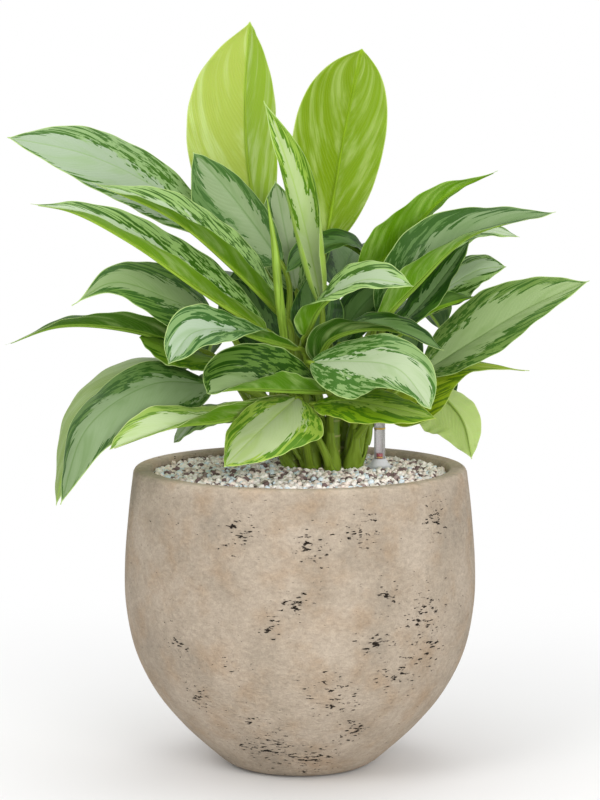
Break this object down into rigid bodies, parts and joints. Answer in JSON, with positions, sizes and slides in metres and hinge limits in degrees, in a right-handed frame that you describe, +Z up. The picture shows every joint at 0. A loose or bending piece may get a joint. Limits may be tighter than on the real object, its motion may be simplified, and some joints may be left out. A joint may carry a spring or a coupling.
{
  "type": "potted silver bay chinese evergreen",
  "caption": "Bushy Chinese evergreen with long silver-marked leaves on arching stalks, in a round fibre cement pot of mineral granules with a float water gauge.",
  "frame": {"origin": "centre of the pot's flat foot", "axes": "+Z up, -Y towards the front of the plant, +X to its right"},
  "size_m": [0.5699, 0.4084, 0.7411],
  "materials": {
    "cement": "rough cast fibre cement",
    "granules": "loose mineral grains",
    "casing_plastic": "moulded",
    "clear_plastic": "clear moulded",
    "yellow_plastic": "moulded",
    "red_plastic": "moulded",
    "cane": "smooth green cane",
    "silver_leaf": "waxy, silver with green margins",
    "lime_leaf": "waxy, pale underside",
    "green_leaf": "waxy"
  },
  "bodies": {
    "planter": {"pot": "cement", "granules": "granules", "gauge_casing": "casing_plastic", "gauge_collar": "clear_plastic", "gauge_tube": "clear_plastic", "cane_a": "cane", "cane_b": "cane", "cane_c": "cane", "cane_d": "cane", "cane_e": "cane", "cane_f": "cane", "spear_tall": "green_leaf", "spear_small": "green_leaf", "leaf_lime_left": "lime_leaf", "leaf_lime_right": "lime_leaf", "leaf_centre_twist": "silver_leaf", "leaf_left_top": "silver_leaf", "leaf_left_mid": "silver_leaf", "leaf_left_low": "silver_leaf", "leaf_left_broad": "silver_leaf", "leaf_left_dark": "silver_leaf", "leaf_left_small": "silver_leaf", "leaf_left_pale": "lime_leaf", "leaf_left_droop": "silver_leaf", "leaf_left_light": "silver_leaf", "leaf_left_inner": "silver_leaf", "leaf_front_curl": "silver_leaf", "leaf_front_bowl": "silver_leaf", "leaf_front_bottom": "silver_leaf", "leaf_front_small": "silver_leaf", "leaf_front_mid": "silver_leaf", "leaf_front_big": "silver_leaf", "leaf_front_lime": "silver_leaf", "leaf_right_olive": "silver_leaf", "leaf_right_pale": "lime_leaf", "leaf_right_big": "silver_leaf", "leaf_right_back": "silver_leaf", "leaf_right_plain": "green_leaf", "leaf_right_dark": "silver_leaf", "leaf_right_long": "silver_leaf", "leaf_right_tip": "silver_leaf", "leaf_right_green": "green_leaf", "leaf_back_arch": "silver_leaf", "leaf_back_dark": "silver_leaf", "leaf_back_silver": "silver_leaf", "leaf_inner_silver": "silver_leaf", "leaf_inner_mid": "silver_leaf", "leaf_inner_left": "silver_leaf", "leaf_inner_back": "silver_leaf", "leaf_inner_right": "silver_leaf", "leaf_rear_1": "silver_leaf", "leaf_rear_2": "silver_leaf", "leaf_rear_3": "silver_leaf", "leaf_rear_4": "silver_leaf", "leaf_rear_5": "silver_leaf", "leaf_rear_6": "silver_leaf", "leaf_rear_7": "silver_leaf", "leaf_rear_8": "silver_leaf"},
    "float": {"gauge_float": "yellow_plastic", "gauge_pointer": "red_plastic"}
  },
  "joints": [
    {"name": "float_rise", "type": "slide", "parent": "planter", "child": "float", "axis": [0, 0, 1], "range_m": [0, 0.028]}
  ]
}
